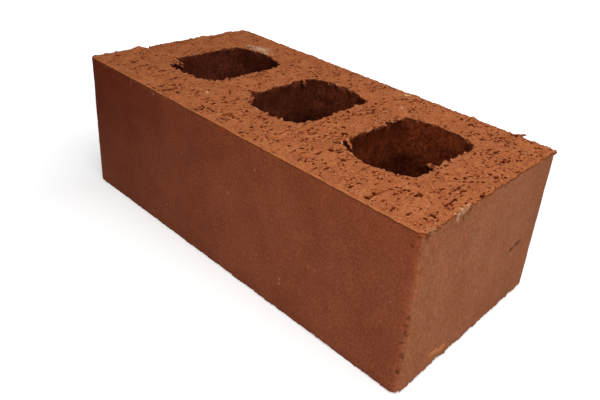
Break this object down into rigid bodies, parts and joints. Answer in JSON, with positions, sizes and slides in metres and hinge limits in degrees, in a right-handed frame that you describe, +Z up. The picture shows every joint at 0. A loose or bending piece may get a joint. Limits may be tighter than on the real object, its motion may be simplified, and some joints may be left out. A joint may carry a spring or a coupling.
{
  "type": "clay brick",
  "caption": "Rectangular wire-cut fired clay brick with three barrel-shaped cores running straight through its height.",
  "frame": {"origin": "centre of the lower bed face", "axes": "+X along the length, +Y across the width towards the rear stretcher face, +Z up through the cores"},
  "size_m": [0.215, 0.1024, 0.073],
  "materials": {
    "fired_clay": "unglazed red fired clay, matte; smooth die skin on the four sides, torn wire-cut texture on the two bed faces"
  },
  "bodies": {
    "root": {"brick": "fired_clay"}
  },
  "joints": []
}
